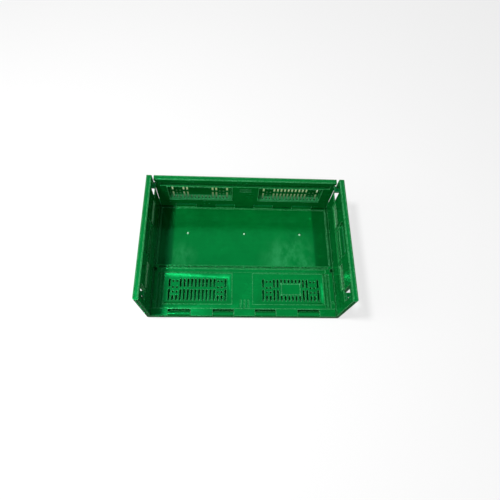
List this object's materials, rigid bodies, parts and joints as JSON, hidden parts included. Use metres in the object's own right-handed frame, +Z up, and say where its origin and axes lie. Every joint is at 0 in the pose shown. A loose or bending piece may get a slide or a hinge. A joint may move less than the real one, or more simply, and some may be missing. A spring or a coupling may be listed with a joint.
{
  "type": "collapsible storage crate",
  "caption": "Rectangular folding storage crate: ribbed base tray, slotted hinged walls, sliding lock bars; front wall folded flat inside.",
  "frame": {"origin": "centre of the crate's plan, on the plane the foot stands on", "axes": "+X along the long sides to the right, +Y to the rear (upright) long wall, +Z up"},
  "size_m": [0.6, 0.4, 0.205],
  "materials": {
    "base_tray": "glossy moulded polypropylene",
    "front_wall": "glossy moulded polypropylene",
    "rear_wall": "glossy moulded polypropylene",
    "left_wall": "glossy moulded polypropylene",
    "right_wall": "glossy moulded polypropylene",
    "left_lock_bar": "glossy moulded polypropylene",
    "right_lock_bar": "glossy moulded polypropylene",
    "front_hinge_pin_1": "plain drawn steel rod",
    "front_hinge_pin_2": "plain drawn steel rod",
    "front_hinge_pin_3": "plain drawn steel rod",
    "front_hinge_pin_4": "plain drawn steel rod",
    "rear_hinge_pin_1": "plain drawn steel rod",
    "rear_hinge_pin_2": "plain drawn steel rod",
    "rear_hinge_pin_3": "plain drawn steel rod",
    "rear_hinge_pin_4": "plain drawn steel rod",
    "left_hinge_pin_1": "plain drawn steel rod",
    "left_hinge_pin_2": "plain drawn steel rod",
    "left_hinge_pin_3": "plain drawn steel rod",
    "right_hinge_pin_1": "plain drawn steel rod",
    "right_hinge_pin_2": "plain drawn steel rod",
    "right_hinge_pin_3": "plain drawn steel rod"
  },
  "bodies": {
    "base": {"base_tray": "base_tray", "front_hinge_pin_1": "front_hinge_pin_1", "front_hinge_pin_2": "front_hinge_pin_2", "front_hinge_pin_3": "front_hinge_pin_3", "front_hinge_pin_4": "front_hinge_pin_4", "rear_hinge_pin_1": "rear_hinge_pin_1", "rear_hinge_pin_2": "rear_hinge_pin_2", "rear_hinge_pin_3": "rear_hinge_pin_3", "rear_hinge_pin_4": "rear_hinge_pin_4", "left_hinge_pin_1": "left_hinge_pin_1", "left_hinge_pin_2": "left_hinge_pin_2", "left_hinge_pin_3": "left_hinge_pin_3", "right_hinge_pin_1": "right_hinge_pin_1", "right_hinge_pin_2": "right_hinge_pin_2", "right_hinge_pin_3": "right_hinge_pin_3"},
    "front": {"front_wall": "front_wall"},
    "rear": {"rear_wall": "rear_wall"},
    "left": {"left_wall": "left_wall"},
    "right": {"right_wall": "right_wall"},
    "left_lock": {"left_lock_bar": "left_lock_bar"},
    "right_lock": {"right_lock_bar": "right_lock_bar"}
  },
  "joints": [
    {"name": "front_wall_fold", "type": "hinge", "parent": "base", "child": "front", "pos_m": [0, -0.192, 0.024], "axis": [-1, 0, 0], "range_deg": [-90, 0]},
    {"name": "rear_wall_fold", "type": "hinge", "parent": "base", "child": "rear", "pos_m": [0, 0.192, 0.024], "axis": [1, 0, 0], "range_deg": [0, 90]},
    {"name": "left_wall_fold", "type": "hinge", "parent": "base", "child": "left", "pos_m": [-0.292, 0, 0.05], "axis": [0, 1, 0], "range_deg": [0, 90]},
    {"name": "right_wall_fold", "type": "hinge", "parent": "base", "child": "right", "pos_m": [0.292, 0, 0.05], "axis": [0, -1, 0], "range_deg": [0, 90]},
    {"name": "left_lock_slide", "type": "slide", "parent": "left", "child": "left_lock", "axis": [0, 0, 1], "range_m": [-0.009, 0]},
    {"name": "right_lock_slide", "type": "slide", "parent": "right", "child": "right_lock", "axis": [0, 0, 1], "range_m": [-0.009, 0]}
  ]
}
